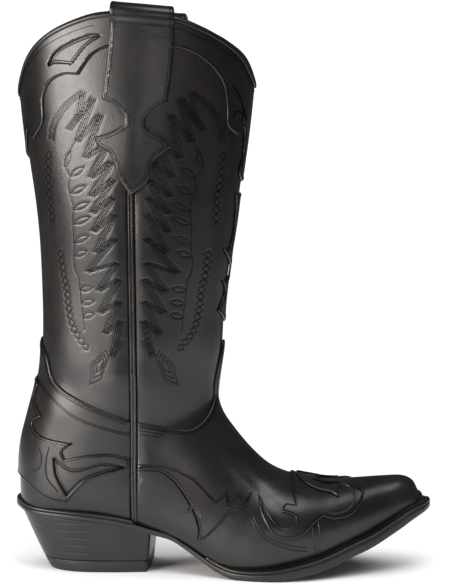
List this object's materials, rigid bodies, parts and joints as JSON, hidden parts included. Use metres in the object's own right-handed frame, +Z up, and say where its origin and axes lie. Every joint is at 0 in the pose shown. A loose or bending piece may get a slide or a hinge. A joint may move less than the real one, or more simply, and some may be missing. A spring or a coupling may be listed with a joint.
{
  "type": "cowboy boot",
  "caption": "Pointed-toe western boot with a stitched two-panel shaft, pull straps, overlays and an underslung stacked heel.",
  "frame": {"origin": "on the floor under the middle of the heel, on the bottom face of the top lift", "axes": "+Z up, +X from the heel towards the toe, -Y towards the outer (lateral) side of the right foot"},
  "size_m": [0.29, 0.1028, 0.3893],
  "materials": {
    "black_leather": "black satin full-grain leather, lightly creased, slightly worn to grey-brown on the edges",
    "overlay_leather": "black satin overlay leather with stitched, bevelled edges",
    "strap_leather": "black satin strap leather, edge-stitched",
    "lining_leather": "natural tan lining leather, matte",
    "sole_leather": "black-dressed leather edge, semi-matt",
    "heel_leather": "black-dressed stacked leather, semi-matt",
    "heel_rubber": "black rubber, matt",
    "insole_board": "leather insole board, matt",
    "stiffener_board": "stiffener board, matt",
    "cork": "ground cork filler, matt",
    "steel": "plain steel"
  },
  "bodies": {
    "boot": {"outsole": "sole_leather", "welt": "sole_leather", "heel_rand": "sole_leather", "heel_block": "heel_leather", "top_lift": "heel_rubber", "shank": "steel", "bottom_filler": "cork", "insole": "insole_board", "sock_liner": "lining_leather", "vamp": "black_leather", "counter": "black_leather", "shaft_front": "black_leather", "shaft_back": "black_leather", "toe_puff": "stiffener_board", "heel_stiffener": "stiffener_board", "vamp_lining": "lining_leather", "counter_lining": "lining_leather", "shaft_lining_front": "lining_leather", "shaft_lining_back": "lining_leather", "side_welt_outer": "black_leather", "side_welt_inner": "black_leather", "topline_binding_front": "overlay_leather", "topline_binding_back": "overlay_leather", "collar_back": "overlay_leather", "collar_front": "overlay_leather", "shin_overlay": "overlay_leather", "heel_overlay": "overlay_leather", "vamp_flame_outer": "overlay_leather", "vamp_flame_inner": "overlay_leather", "toe_overlay": "overlay_leather", "heel_nail_1": "steel", "heel_nail_2": "steel", "heel_nail_3": "steel", "heel_nail_4": "steel", "heel_nail_5": "steel", "pull_strap_outer_front_tab": "strap_leather", "pull_strap_outer_lining_tab": "strap_leather", "pull_strap_inner_front_tab": "strap_leather", "pull_strap_inner_lining_tab": "strap_leather"},
    "strap_loop_outer": {"pull_strap_outer_loop": "strap_leather"},
    "strap_loop_inner": {"pull_strap_inner_loop": "strap_leather"}
  },
  "joints": [
    {"name": "pull_strap_outer_flex", "type": "hinge", "parent": "boot", "child": "strap_loop_outer", "pos_m": [0.0355, -0.0447, 0.3817], "axis": [0.9958, 0.0389, -0.0826], "range_deg": [-18, 18], "stiffness_Nm_per_rad": 0.05},
    {"name": "pull_strap_inner_flex", "type": "hinge", "parent": "boot", "child": "strap_loop_inner", "pos_m": [0.0355, 0.0447, 0.3817], "axis": [0.9958, -0.0389, -0.0826], "range_deg": [-18, 18], "stiffness_Nm_per_rad": 0.05}
  ]
}
